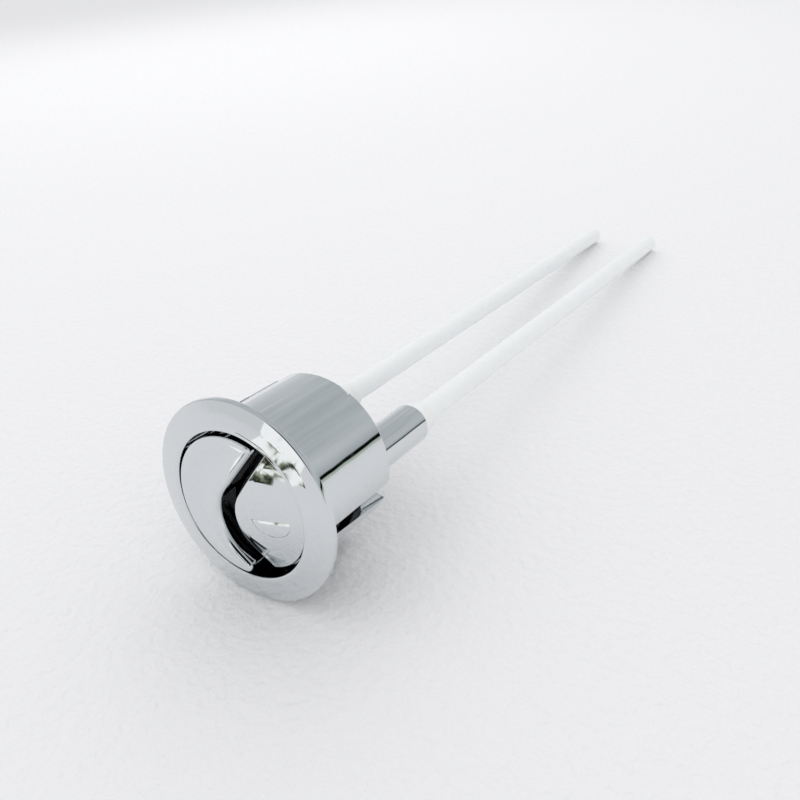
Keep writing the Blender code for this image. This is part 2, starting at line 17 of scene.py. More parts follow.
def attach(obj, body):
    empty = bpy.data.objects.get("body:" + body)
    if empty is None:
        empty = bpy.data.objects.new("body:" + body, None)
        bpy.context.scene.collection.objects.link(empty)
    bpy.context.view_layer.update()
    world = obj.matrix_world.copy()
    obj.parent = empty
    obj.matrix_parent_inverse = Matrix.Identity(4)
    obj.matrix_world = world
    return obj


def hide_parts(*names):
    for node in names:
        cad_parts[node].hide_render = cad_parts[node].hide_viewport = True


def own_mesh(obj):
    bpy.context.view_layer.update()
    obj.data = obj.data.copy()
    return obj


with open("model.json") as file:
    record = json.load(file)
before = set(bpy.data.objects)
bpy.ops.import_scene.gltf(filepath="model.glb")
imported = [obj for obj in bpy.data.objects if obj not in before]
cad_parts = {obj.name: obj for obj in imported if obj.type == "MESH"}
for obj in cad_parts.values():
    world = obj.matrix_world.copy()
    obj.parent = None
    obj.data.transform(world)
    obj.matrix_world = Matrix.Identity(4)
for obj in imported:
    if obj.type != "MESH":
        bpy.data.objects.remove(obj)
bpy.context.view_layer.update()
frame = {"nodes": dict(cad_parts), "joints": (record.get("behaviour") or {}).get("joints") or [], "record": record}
MM = 0.001

# %% [markdown]
# ## The unit's own upright frame
# The unit lies on a table, leaning on its bezel and its rod tips.  Round pieces are easiest to model
# upright, with z along the stems, so every piece is made upright and its mesh is then laid down with
# one matrix.  That matrix comes from the frame: the slide's axis, the lid seat and the rod tips.  The
# lid seat is the gasket's face, 1.3 mm behind the back of the flange.

# %% Find the matrix that lays an upright piece down
mounts = {mount["name"]: Vector(mount["pos_m"]) for mount in frame["record"]["mounts"]}
press = Vector(frame["joints"][0]["axis"]).normalized()
outward = -press
across = Vector((1.0, 0.0, 0.0))
upward = outward.cross(across)
tip_middle = (mounts["full_rod_tip"] + mounts["half_rod_tip"]) / 2
SEAT_DEPTH = 1.3 * MM
flange_centre = tip_middle + outward * ((mounts["lid_seat"] - tip_middle).dot(outward) + SEAT_DEPTH)
turn_down = Matrix((across, upward, outward)).transposed().to_4x4()
lay_down = Matrix.Translation(flange_centre) @ turn_down
stand_up = lay_down.inverted()
print("flange centre", [round(value, 5) for value in flange_centre])


# %% Measure a frame node in the upright frame
def measured(node):
    """(low, high) corners of a frame node's box, in metres, with the unit upright."""
    corners = [stand_up @ vertex.co for vertex in frame["nodes"][node].data.vertices]
    low = Vector([min(corner[i] for corner in corners) for i in range(3)])
    high = Vector([max(corner[i] for corner in corners) for i in range(3)])
    return low, high


housing_low, housing_high = measured("bezel_housing")
carrier_low, carrier_high = measured("inner_carrier")
stem_low, stem_high = measured("half_flush_stem")
bush_low, bush_high = measured("half_rod_bush")
rod_low, rod_high = measured("half_push_rod")
gasket_low, gasket_high = measured("lid_gasket")
buffer_low, buffer_high = measured("half_buffer")

GAP = 0.3 * MM
flange_radius = housing_high.x
bezel_top = housing_high.z
barrel_rear = housing_low.z
bore_radius = carrier_high.x + GAP
stem_x = (stem_low.x + stem_high.x) / 2
stem_radius = (stem_high.x - stem_low.x) / 2
rod_radius = (rod_high.x - rod_low.x) / 2
bush_radius = (bush_high.x - bush_low.x) / 2
SIDES = (("full", -1), ("half", 1))
print(f"flange radius {flange_radius / MM:.2f} mm, bore {bore_radius / MM:.2f} mm, stems at "
      f"{stem_x / MM:.2f} mm with radius {stem_radius / MM:.2f} mm")

# %% [markdown]
# ## Two helpers for every material
# A finish is built from shader nodes.  One function turns a familiar hex colour into the linear values
# that Blender's renderer needs.  The other adds a node with its settings and its links in one line,
# so that each finish below reads like a recipe.


# %% Colour and node helpers
def linear(hex_colour):
    """sRGB hex, such as '#E8EAEC', as linear red, green, blue and an alpha of 1."""
    channels = [int(hex_colour[i:i + 2], 16) / 255 for i in (1, 3, 5)]
    return [c / 12.92 if c <= 0.04045 else ((c + 0.055) / 1.055) ** 2.4 for c in channels] + [1.0]


def add_node(tree, kind, settings=None, **inputs):
    """Add a node; an input is a value or an output socket to link from."""
    node = tree.nodes.new(kind)
    for name, value in (settings or {}).items():
        setattr(node, name, value)
    for name, value in inputs.items():
        socket = node.inputs[name.replace("_", " ")]
        if isinstance(value, bpy.types.NodeSocket):
            tree.links.new(value, socket)
        else:
            socket.default_value = value
    return node


def start_material(name, hex_colour, roughness, metallic=0.0):
    """A material with its shader, and the object coordinates in millimetres."""
    material = bpy.data.materials.new(name)
    material.use_nodes = True
    tree = material.node_tree
    shader = tree.nodes["Principled BSDF"]
    shader.inputs["Base Color"].default_value = linear(hex_colour)
    shader.inputs["Roughness"].default_value = roughness
    shader.inputs["Metallic"].default_value = metallic
    coordinates = add_node(tree, "ShaderNodeTexCoord")
    millimetres = add_node(tree, "ShaderNodeMapping", Vector=coordinates.outputs["Object"],
                           Scale=(1000.0, 1000.0, 1000.0))
    return material, tree, shader, millimetres.outputs["Vector"]


# %% [markdown]
# ## Chrome plate
# The bezel, buttons and stems are ABS mouldings or tube with bright chrome plate.  Chrome is a cool,
# slightly grey mirror.  It never looks perfectly even: the moulding under it has faint waves about
# 8 mm long, and handling leaves thin smears that only show as a little extra roughness.


# %% Make the chrome plate
def make_chrome():
    material, tree, shader, place = start_material("bright_chrome_plate", "#DBDEE0", 0.05, 1.0)
    smear = add_node(tree, "ShaderNodeTexNoise", Vector=place, Scale=0.16, Detail=5.0, Roughness=0.6)
    roughness = add_node(tree, "ShaderNodeMapRange", Value=smear.outputs["Fac"], From_Min=0.45,
                         From_Max=0.8, To_Min=0.035, To_Max=0.11)
    tree.links.new(roughness.outputs["Result"], shader.inputs["Roughness"])
    wave = add_node(tree, "ShaderNodeTexNoise", Vector=place, Scale=0.12, Detail=1.0)
    bump = add_node(tree, "ShaderNodeBump", Height=wave.outputs["Fac"], Strength=0.10, Distance=0.0005)
    tree.links.new(bump.outputs["Normal"], shader.inputs["Normal"])
    return material


# %% [markdown]
# ## Black and white plastics
# The carrier and plungers are black acetal, with the soft sheen of a spark-eroded mould.  Their colour is
# set darker than the plastic's own, as painted shade for the deep gap between the buttons.  The rods and
# bushes are white polypropylene, a little translucent, so light softens their edges.


# %% Make the plastics
def make_black_acetal_and_gap_shade():
    # Near black, darker than acetal itself: painted shade for the gap between the buttons, where the fence shows.
    material, tree, shader, place = start_material("black_acetal_and_gap_shade", "#060607", 0.55)
    grain = add_node(tree, "ShaderNodeTexNoise", Vector=place, Scale=6.0, Detail=3.0)
    bump = add_node(tree, "ShaderNodeBump", Height=grain.outputs["Fac"], Strength=0.15, Distance=0.0001)
    tree.links.new(bump.outputs["Normal"], shader.inputs["Normal"])
    return material


def make_white_polypropylene():
    material, tree, shader, place = start_material("white_polypropylene", "#F1F3F3", 0.34)
    shader.inputs["Subsurface Weight"].default_value = 0.35
    shader.inputs["Subsurface Radius"].default_value = (0.9, 0.9, 1.0)
    shader.inputs["Subsurface Scale"].default_value = 0.0012
    draw_mark = add_node(tree, "ShaderNodeTexNoise", Vector=place, Scale=0.35, Detail=4.0)
    tint = add_node(tree, "ShaderNodeMix", {"data_type": "RGBA"}, Factor=draw_mark.outputs["Fac"])
    tint.inputs["A"].default_value = linear("#F4F6F6")
    tint.inputs["B"].default_value = linear("#ECEFEF")
    tree.links.new(tint.outputs["Result"], shader.inputs["Base Color"])
    bump = add_node(tree, "ShaderNodeBump", Height=draw_mark.outputs["Fac"], Strength=0.08,
                    Distance=0.0003)
    tree.links.new(bump.outputs["Normal"], shader.inputs["Normal"])
    return material


# %% [markdown]
# ## Rubber, foam and steel
# The buffers are black rubber and the lid gasket is closed-cell foam, whose cells of about half a
# millimetre show as a fine pitted bump.  Springs are drawn wire, and the screws and pins are zinc
# plated, so both are metals with a patchy roughness.


# %% Make the rubber, foam and steel
def make_rubber():
    material, tree, shader, place = start_material("nitrile_rubber", "#191A1B", 0.75)
    bloom = add_node(tree, "ShaderNodeTexNoise", Vector=place, Scale=1.5, Detail=4.0)
    bump = add_node(tree, "ShaderNodeBump", Height=bloom.outputs["Fac"], Strength=0.2, Distance=0.0002)
    tree.links.new(bump.outputs["Normal"], shader.inputs["Normal"])
    return material


def make_foam():
    material, tree, shader, place = start_material("closed_cell_foam", "#4A4B4E", 0.95)
    cells = add_node(tree, "ShaderNodeTexVoronoi", Vector=place, Scale=2.0)
    bump = add_node(tree, "ShaderNodeBump", Height=cells.outputs["Distance"], Strength=0.5,
                    Distance=0.0003)
    tree.links.new(bump.outputs["Normal"], shader.inputs["Normal"])
    return material


def make_steel(name, hex_colour, low, high):
    material, tree, shader, place = start_material(name, hex_colour, low, 1.0)
    patches = add_node(tree, "ShaderNodeTexNoise", Vector=place, Scale=1.2, Detail=5.0)
    roughness = add_node(tree, "ShaderNodeMapRange", Value=patches.outputs["Fac"], To_Min=low,
                         To_Max=high)
    tree.links.new(roughness.outputs["Result"], shader.inputs["Roughness"])
    return material


chrome = make_chrome()
black_acetal_and_gap_shade = make_black_acetal_and_gap_shade()
white_plastic = make_white_polypropylene()
rubber = make_rubber()
foam = make_foam()
spring_wire = make_steel("drawn_spring_wire", "#B9BABD", 0.22, 0.42)
zinc_plate = make_steel("zinc_plated_steel", "#C6C9CC", 0.28, 0.50)
print("finishes:", ", ".join(material.name for material in bpy.data.materials))

# %% [markdown]
# ## Helpers for shape
# Nearly every piece is turned: a flat outline spun about the axis.  Real mouldings have no knife
# edges, so an outline's corners are given radii and replaced by short arcs before the spin.


# %% Round an outline's corners and spin it
def corner_arc(before, corner, after, radius, steps):
    """Points of the arc that rounds one corner."""
    back = (before - corner).normalized()
    ahead = (after - corner).normalized()
    half = back.angle(ahead) / 2
    centre = corner + (back + ahead).normalized() * (radius / math.sin(half))
    start = corner + back * (radius / math.tan(half)) - centre
    end = corner + ahead * (radius / math.tan(half)) - centre
    return [centre + radius * start.slerp(end, i / steps).normalized() for i in range(steps + 1)]


def rounded(corners, closed=True, steps=6):
    """(a, b, radius) corners as a list of points, with each corner that has a radius rounded."""
    places = [Vector((a, b)) for a, b, radius in corners]
    points = []
    for i, (a, b, radius) in enumerate(corners):
        is_end = not closed and i in (0, len(corners) - 1)
        if radius == 0.0 or is_end:
            points.append(places[i])
        else:
            points += corner_arc(places[i - 1], places[i], places[(i + 1) % len(places)], radius, steps)
    return points


def spun(corners, closed=True, steps=192, x=0.0):
    """Bmesh of a rounded (radius, z) outline spun about the upright axis at x."""
    bm = bmesh.new()
    ring = [bm.verts.new((point.x, 0.0, point.y)) for point in rounded(corners, closed)]
    for first, second in zip(ring, ring[1:]):
        bm.edges.new((first, second))
    if closed:
        bm.edges.new((ring[-1], ring[0]))
    bmesh.ops.spin(bm, geom=bm.verts[:] + bm.edges[:], axis=(0.0, 0.0, 1.0), cent=(0.0, 0.0, 0.0),
                   angle=math.tau, steps=steps, use_merge=True, use_duplicate=False)
    bmesh.ops.remove_doubles(bm, verts=bm.verts, dist=0.001 * MM)
    bmesh.ops.recalc_face_normals(bm, faces=bm.faces)
    bmesh.ops.translate(bm, vec=(x, 0.0, 0.0), verts=bm.verts)
    return bm


# %% Make cutting tools: a block, a round bar and a flat shape
def block(size, centre, turn=0.0, radius=0.0):
    """Box of a size, moved out by a radius and a centre and turned about the axis."""
    bm = bmesh.new()
    bmesh.ops.create_cube(bm, size=1.0)
    bmesh.ops.scale(bm, vec=size, verts=bm.verts)
    bmesh.ops.translate(bm, vec=(radius + centre[0], centre[1], centre[2]), verts=bm.verts)
    bmesh.ops.rotate(bm, cent=(0.0, 0.0, 0.0), matrix=Matrix.Rotation(math.radians(turn), 3, 'Z'),
                     verts=bm.verts)
    return bm


def bar(radius, top, bottom, x=0.0, steps=96):
    return spun([(0.0, top, 0.0), (radius, top, 0.0), (radius, bottom, 0.0), (0.0, bottom, 0.0)],
                closed=False, steps=steps, x=x)


def slab(points, top, bottom):
    """Flat outline pulled up into a straight-sided solid."""
    bm = bmesh.new()
    face = bm.faces.new([bm.verts.new((point[0], point[1], bottom)) for point in points])
    pulled = bmesh.ops.extrude_face_region(bm, geom=[face])
    lifted = [item for item in pulled["geom"] if isinstance(item, bmesh.types.BMVert)]
    bmesh.ops.translate(bm, vec=(0.0, 0.0, top - bottom), verts=lifted)
    bmesh.ops.recalc_face_normals(bm, faces=bm.faces)
    return bm


# %% [markdown]
# ## Cutting and finishing
# Slots, notches and holes are cut with Booleans, which need both shapes as objects for a moment.  The
# cut is baked into the mesh at once, so no tool is left in the scene.  Each finished mesh is laid down,
# shaded smooth with crisp edges kept, and tied to the body that it moves with.


# %% Carve one shape with another
def as_object(name, bm):
    mesh = bpy.data.meshes.new(name)
    bm.to_mesh(mesh)
    bm.free()
    obj = bpy.data.objects.new(name, mesh)
    bpy.context.scene.collection.objects.link(obj)
    return obj


def carve(bm, tool, operation='DIFFERENCE'):
    """Cut, join or keep the overlap of two bmeshes, and return the result as a new bmesh."""
    target = as_object("target", bm)
    cutter = as_object("tool", tool)
    modifier = target.modifiers.new("cut", 'BOOLEAN')
    modifier.operation = operation
    modifier.solver = 'EXACT'
    modifier.object = cutter
    bpy.context.view_layer.update()
    result = bmesh.new()
    result.from_object(target, bpy.context.evaluated_depsgraph_get())
    for obj in (target, cutter):
        bpy.data.meshes.remove(obj.data)
    bmesh.ops.remove_doubles(result, verts=result.verts, dist=0.0005 * MM)
    return result


# %% Lay a finished piece down and tie it to its body
def finish_piece(name, bm, material, body, nodes, edge=0.0, sharp=35.0):
    """Turn an upright bmesh into a finished piece; edge is the width of its softened edges."""
    piece = as_object(name, bm)
    mesh = piece.data
    mesh.transform(lay_down)
    mesh.materials.append(material)
    mesh.shade_smooth()
    mesh.set_sharp_from_angle(angle=math.radians(sharp))
    if edge:
        soften = piece.modifiers.new("soft edges", 'BEVEL')
        soften.width = edge
        soften.segments = 2
        soften.limit_method = 'ANGLE'
        soften.angle_limit = math.radians(50.0)
        soften.use_clamp_overlap = True
    even = piece.modifiers.new("even shading", 'WEIGHTED_NORMAL')
    even.keep_sharp = True
    even.weight = 50
    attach(piece, body)
    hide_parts(*nodes)
    print(f"{name}: {len(mesh.polygons)} faces")
    return piece


# %% [markdown]
# ## Bezel and barrel
# One plated moulding.  The bezel's face falls away from a narrow crest in a slightly crowned cone, and
# the barrel below it is plain.  Two spring tongues, each freed by a slot on either side, carry thick
# barbs that hold the carrier from behind.

# %% Turn the bezel and barrel
BARREL_WALL = 1.6 * MM
CREST_WIDTH = 1.1 * MM
FLANGE_EDGE = 1.3 * MM
CROWN = 0.10 * MM
barrel_radius = bore_radius + BARREL_WALL
crest_radius = bore_radius + CREST_WIDTH
middle_radius = (crest_radius + flange_radius) / 2
middle_height = (bezel_top + FLANGE_EDGE) / 2 + CROWN

housing = spun([
    (bore_radius, bezel_top, 0.35 * MM),
    (crest_radius, bezel_top, 1.6 * MM),
    (middle_radius, middle_height, 14.0 * MM),
    (flange_radius, FLANGE_EDGE, 0.4 * MM),
    (flange_radius, 0.0, 0.15 * MM),
    (barrel_radius, 0.0, 0.2 * MM),
    (barrel_radius, barrel_rear, 0.3 * MM),
    (bore_radius, barrel_rear, 0.15 * MM),
], steps=288)

# %% Cut the slots, add the barbs and cut the notch
TONGUE_ANGLES = (-37.5, 142.5)
SLOT_ANGLE = 20.5
SLOT_TOP = -3.0 * MM
SLOT_FRONT = 2.8 * MM
SLOT_REAR = 5.1 * MM
SLOT_OUTER = 2.5 * MM
BARB_WIDTH = 7.0 * MM
BARB_DEPTH = 3.3 * MM
BARB_TOP = -19.2 * MM
NOTCH = (4.8 * MM, 2.4 * MM, 2.0 * MM)
NOTCH_ANGLE = 65.0
wall_middle = bore_radius + BARREL_WALL / 2


def slot_tool(angle, way):
    """Wedge beside a tongue: narrow at the front and wide at the barrel's open end."""
    length = SLOT_TOP - barrel_rear + MM
    tool = block((2.5 * BARREL_WALL, 1.0 * MM, length), (0.0, 0.0, SLOT_TOP - length / 2))
    for vertex in tool.verts:
        width = SLOT_FRONT if vertex.co.z > SLOT_TOP - MM else SLOT_REAR
        outer = vertex.co.y * way > 0.0
        vertex.co.y = way * (SLOT_OUTER if outer else SLOT_OUTER - width)
    bmesh.ops.translate(tool, vec=(wall_middle, 0.0, 0.0), verts=tool.verts)
    bmesh.ops.rotate(tool, cent=(0.0, 0.0, 0.0), verts=tool.verts,
                     matrix=Matrix.Rotation(math.radians(angle + way * SLOT_ANGLE), 3, 'Z'))
    bmesh.ops.recalc_face_normals(tool, faces=tool.faces)
    return tool


for angle in TONGUE_ANGLES:
    for way in (-1, 1):
        housing = carve(housing, slot_tool(angle, way))
for angle in TONGUE_ANGLES:
    height = BARB_TOP - barrel_rear
    barb = block((BARB_DEPTH, BARB_WIDTH, height), (0.0, 0.0, BARB_TOP - height / 2), angle,
                 wall_middle - BARB_DEPTH / 2)
    housing = carve(housing, barb, 'UNION')
housing = carve(housing, block(NOTCH, (0.0, 0.0, barrel_rear), NOTCH_ANGLE, wall_middle))
finish_piece("bezel_and_barrel", housing, chrome, "housing", ["bezel_housing"],
             edge=0.08 * MM)

# %% [markdown]
# ## Outline of the buttons
# The gap between the buttons is a bent band.  Each button's side of it is two straight arms joined by
# a wide bend, and its other side is part of the round opening.  A button is described by a core line,
# drawn a corner's radius inside its true outline, and by the direction that points out from it.  Every
# ring of its rounded edge is then the core pushed outwards by some distance, and corners come out
# round.  For each side the table gives the bend's centre from the stem's axis, its radius, and the
# headings of the two arms in degrees.

# %% Describe the core line of each button
CAP_GAP = 0.9 * MM
cap_radius = bore_radius - CAP_GAP
BENDS = {-1: (Vector((-6.7, -3.8)) * MM, 10.4 * MM, (53.0, -34.5)),
         1: (Vector((-4.9, -3.9)) * MM, 9.5 * MM, (56.0, -39.5))}


def heading(degrees):
    return Vector((math.cos(math.radians(degrees)), math.sin(math.radians(degrees))))


def inner_edge(side, inset):
    """Function from a share of the gap's edge, 0 at the upper end, to (point, outward direction).

    The edge is an arm, the bend and an arm, moved into the button by inset.
    """
    from_stem, radius, arms = BENDS[side]
    centre = from_stem + Vector((stem_x, 0.0))
    radius -= side * inset
    limit = cap_radius - inset
    first, last = arms[0] + 90.0, arms[1] + 270.0
    runs = []
    for angle, arm in ((first, arms[0]), (last, arms[1])):
        start = centre + radius * heading(angle)
        along = start.dot(heading(arm))
        runs.append(-along + math.sqrt(along ** 2 - start.length_squared + limit ** 2))
    arc = math.radians(last - first) * radius
    total = runs[0] + arc + runs[1]

    def point_at(share):
        done = share * total
        if done < runs[0]:
            start = centre + radius * heading(first)
            return start + (runs[0] - done) * heading(arms[0]), side * heading(first)
        if done > runs[0] + arc:
            start = centre + radius * heading(last)
            return start + (done - runs[0] - arc) * heading(arms[1]), side * heading(last)
        angle = first + (last - first) * (done - runs[0]) / arc
        return centre + radius * heading(angle), side * heading(angle)

    return point_at


def rim_edge(side, inset):
    """The same kind of function for the round edge, from the upper corner to the lower one."""
    edge = inner_edge(side, inset)
    upper, lower = edge(0.0)[0], edge(1.0)[0]
    start = math.degrees(math.atan2(upper.y, upper.x))
    end = math.degrees(math.atan2(lower.y, lower.x))
    if side < 0:
        end += 360.0

    def point_at(share):
        angle = start + (end - start) * share
        return (cap_radius - inset) * heading(angle), heading(angle)

    return point_at


for share, end in ((0.0, "upper"), (1.0, "lower")):
    print(f"large button's {end} corner at", [round(v / MM, 1) for v in inner_edge(-1, 0.0)(share)[0]],
          "mm")

# %% [markdown]
# ## The button caps
# The large cap is a shallow dish that rolls down towards the gap, where its edge is broadly rounded.
# The small one is nearly flat.  A grid stretched between the two core lines makes the face.  Its border
# is then extruded outwards and down round the edge, down the skirt, and closed underneath.


# %% Build one cap
FACE_STEPS = (112, 28)
EDGE_STEPS = 8


def button_cap(side, top, bottom, corner, edges, height):
    """Cap of one button.

    corner is the radius of its corners seen from above, edges are the radii that round its face's
    edge along the gap and along the rim, and height(point) shapes the face.
    """
    gap_line, rim_line = inner_edge(side, corner), rim_edge(side, corner)
    bm = bmesh.new()
    bmesh.ops.create_grid(bm, x_segments=FACE_STEPS[0], y_segments=FACE_STEPS[1], size=0.5)
    out = bm.verts.layers.float_vector.new("out")
    edge = bm.verts.layers.float.new("edge")
    for vertex in bm.verts:
        along, between = vertex.co.x + 0.5, vertex.co.y + 0.5
        gap_point, gap_out = gap_line(along)
        rim_point, rim_out = rim_line(along)
        place = gap_point.lerp(rim_point, between)
        vertex[out] = (*gap_out.slerp(rim_out, between), 0.0)
        vertex[edge] = edges[0] + (edges[1] - edges[0]) * between
        vertex.co = (place.x, place.y, top + height(place))
    grow_border(bm, lambda vertex: vertex[out] * (corner - vertex[edge]))
    for i in range(EDGE_STEPS):
        now, after = (math.pi / 2 * (i + j) / EDGE_STEPS for j in (0, 1))
        push, rise = math.sin(after) - math.sin(now), math.cos(after) - math.cos(now)
        grow_border(bm, lambda vertex: (vertex[out] * push + Vector((0.0, 0.0, rise))) * vertex[edge])
    grow_border(bm, lambda vertex: Vector((0.0, 0.0, bottom - vertex.co.z)))
    bmesh.ops.remove_doubles(bm, verts=bm.verts, dist=0.001 * MM)
    bmesh.ops.holes_fill(bm, edges=[item for item in bm.edges if item.is_boundary], sides=0)
    bmesh.ops.recalc_face_normals(bm, faces=bm.faces)
    return bm


def grow_border(bm, step):
    """Extrude the open border once, moving each new corner by step(corner)."""
    border = [item for item in bm.edges if item.is_boundary]
    grown = bmesh.ops.extrude_edge_only(bm, edges=border)
    for item in grown["geom"]:
        if isinstance(item, bmesh.types.BMVert):
            item.co += step(item)


# %% Shape the two faces
DISH_DEPTH = 0.55 * MM
DISH_START = 1.2 * MM
DISH_SLOPE = 4.2 * MM
ROLL_DEPTH = 0.12 * MM
ROLL_WIDTH = 1.5 * MM
HALF_CROWN_RADIUS = 70.0 * MM


def smooth_step(value):
    """0 below 0, 1 above 1, and an S-shaped rise between."""
    value = min(max(value, 0.0), 1.0)
    return value * value * (3.0 - 2.0 * value)


def full_height(place):
    """Finger dish of the large cap, and the roll of its face down to the gap."""
    from_stem, radius, arms = BENDS[-1]
    centre = from_stem + Vector((stem_x, 0.0))
    to_gap = gap_distance(place, centre, radius, arms)
    to_rim = cap_radius - place.length
    dish = -DISH_DEPTH * smooth_step((min(to_gap, to_rim) - DISH_START) / DISH_SLOPE)
    roll = -ROLL_DEPTH * (1.0 - smooth_step(to_gap / ROLL_WIDTH))
    return dish + roll


def gap_distance(place, centre, radius, arms):
    """Distance of a point of the large cap from its edge along the gap."""
    distance = (place - centre).length - radius
    first, last = arms[0] + 90.0, arms[1] + 270.0
    for angle, arm in ((first, arms[0]), (last, arms[1])):
        start = centre + radius * heading(angle)
        if (place - start).dot(heading(arm)) > 0.0:
            distance = (place - start).dot(heading(angle))
    return max(distance, 0.0)


def half_height(place):
    """The small cap's face is crowned from end to end by a long radius."""
    return -place.y ** 2 / (2 * HALF_CROWN_RADIUS)


# %% Make the large cap
FULL_CORNER = 1.3 * MM
FULL_EDGES = (1.15 * MM, 0.3 * MM)
full_low, full_high = measured("full_flush_cap")
full_cap = button_cap(-1, full_high.z, full_low.z, FULL_CORNER, FULL_EDGES, full_height)
finish_piece("full_flush_button", full_cap, chrome, "full_button", ["full_flush_cap"],
             sharp=60.0)

# %% [markdown]
# ## The half-flush mark
# A half moon on the small cap says that it gives half a flush.  A shallow groove draws it, with a low
# island inside.  The groove is widest and deepest along the straight edge, where its lower side faces
# up and catches the light.  A small sharp angle keeps that side's shading flat.

# %% Make the small cap and cut the half moon
HALF_CORNER = 1.2 * MM
HALF_EDGES = (0.3 * MM, 0.3 * MM)
MARK_FROM_STEM = Vector((-4.3, -2.0)) * MM
MARK_TURN = 14.0
MARK_LENGTH = 5.6 * MM
MARK_WIDTH = 4.2 * MM
MARK_DEPTH = 0.34 * MM
MARK_ARC_DEPTH = 0.3 * MM
MARK_FLOOR = 0.08 * MM
MARK_GROOVE = 0.4 * MM
MARK_SLOPE = 0.9 * MM
MARK_ARC_GROOVE = 0.15 * MM
MARK_ARC_SLOPE = 0.45 * MM
MARK_STEPS = 40


def moon(inset, start, level, chord_level):
    """Half-moon ring at a level, with its straight side moved in by start and at its own level."""
    length, width = MARK_LENGTH - inset, MARK_WIDTH - inset
    points = []
    for i in range(MARK_STEPS + 1):
        angle = math.pi * (1.0 + i / MARK_STEPS)
        points.append((length * math.cos(angle), (width - start) * math.sin(angle) - start,
                       chord_level if i in (0, MARK_STEPS) else level))
    return points


half_low, half_high = measured("half_flush_cap")
half_cap = button_cap(1, half_high.z, half_low.z, HALF_CORNER, HALF_EDGES, half_height)
mark = bmesh.new()
rings = [moon(0.0, 0.0, MM, MM), moon(0.0, 0.0, 0.0, 0.0),
         moon(MARK_ARC_GROOVE, MARK_GROOVE, -MARK_ARC_DEPTH, -MARK_DEPTH),
         moon(MARK_ARC_SLOPE, MARK_SLOPE, -MARK_FLOOR, -MARK_FLOOR)]
loops = []
for ring in rings:
    verts = [mark.verts.new(point) for point in ring]
    loops.append([mark.edges.new(pair) for pair in zip(verts, verts[1:] + verts[:1])])
for upper_loop, lower_loop in zip(loops, loops[1:]):
    bmesh.ops.bridge_loops(mark, edges=upper_loop + lower_loop)
bmesh.ops.holes_fill(mark, edges=[item for item in mark.edges if item.is_boundary], sides=0)
bmesh.ops.recalc_face_normals(mark, faces=mark.faces)
bmesh.ops.rotate(mark, cent=(0.0, 0.0, 0.0), verts=mark.verts,
                 matrix=Matrix.Rotation(math.radians(MARK_TURN), 3, 'Z'))
mark_height = half_high.z + half_height(MARK_FROM_STEM + Vector((0.0, -MARK_GROOVE)))
bmesh.ops.translate(mark, vec=(stem_x + MARK_FROM_STEM.x, MARK_FROM_STEM.y, mark_height),
                    verts=mark.verts)
half_cap = carve(half_cap, mark)
finish_piece("half_flush_button", half_cap, chrome, "half_button", ["half_flush_cap"],
             sharp=14.0)

# %% [markdown]
# ## The carrier
# A black moulding closes the barrel.  Its fence stands deep in the gap between the buttons, and its colour
# is darker than black acetal's own, so the gap shows painted shade.  A well beside the fence takes each
# button, and two sleeves guide the plungers.

# %% Carve the carrier
FLOOR_TOP = -16.4 * MM
FLOOR_BOTTOM = -18.9 * MM
FENCE_CLEARANCE = 0.6 * MM
SLEEVE_WALL = 1.2 * MM
STEM_WALL = 0.85 * MM
WELL_STEPS = 48
WELL_OVERSHOOT = 1.15
neck_radius = stem_radius - STEM_WALL - GAP
sleeve_radius = neck_radius + GAP + SLEEVE_WALL
carrier_radius = carrier_high.x

carrier = bar(carrier_radius, carrier_high.z, FLOOR_BOTTOM, steps=160)
for label, side in SIDES:
    gap_line, rim_line = inner_edge(side, -FENCE_CLEARANCE), rim_edge(side, -FENCE_CLEARANCE)
    shares = [i / WELL_STEPS for i in range(WELL_STEPS + 1)]
    outline = [gap_line(share)[0] for share in shares]
    outline += [rim_line(1.0 - share)[0] * WELL_OVERSHOOT for share in shares]
    carrier = carve(carrier, slab(outline, MM, FLOOR_TOP))
    sleeve = bar(sleeve_radius, FLOOR_BOTTOM + MM, carrier_low.z, side * stem_x)
    hole = bar(neck_radius + GAP, FLOOR_TOP + MM, carrier_low.z - MM, side * stem_x)
    carrier = carve(carve(carrier, sleeve, 'UNION'), hole)
# The carrier's very dark colour paints the shade in the gap between the buttons.
finish_piece("carrier", carrier, black_acetal_and_gap_shade, "housing", ["inner_carrier"],
             edge=0.12 * MM)

# %% [markdown]
# ## The lid gasket
# A flat ring of foam under the flange.  Its cut edges are a little rounded by being squeezed.

# %% Turn the gasket
gasket_outer = (gasket_high.x - gasket_low.x) / 2
gasket = spun([(gasket_outer, gasket_high.z, 0.2 * MM), (gasket_outer, gasket_low.z, 0.2 * MM),
               (barrel_radius + GAP, gasket_low.z, 0.1 * MM),
               (barrel_radius + GAP, gasket_high.z, 0.1 * MM)])
finish_piece("foam_gasket", gasket, foam, "housing", ["lid_gasket"])

# %% [markdown]
# ## Stems, buffers, bushes and rods
# Both sides are the same, so a loop makes them twice.  The stem is a plain plated tube with a keyway in
# its open end.  The white bush plugs that end, shows a thin collar behind it, and grips the rod.

# %% Turn the pieces of each push rod
KEY_ANGLE = -50.0
KEY_WIDTH = 1.3 * MM
KEY_LENGTH = 1.2 * MM
COLLAR_LENGTH = 1.3 * MM
COLLAR_LIP = 0.7 * MM
TAIL_WALL = 0.6 * MM
BUSH_END_WALL = 1.2 * MM
stem_bore = stem_radius - STEM_WALL


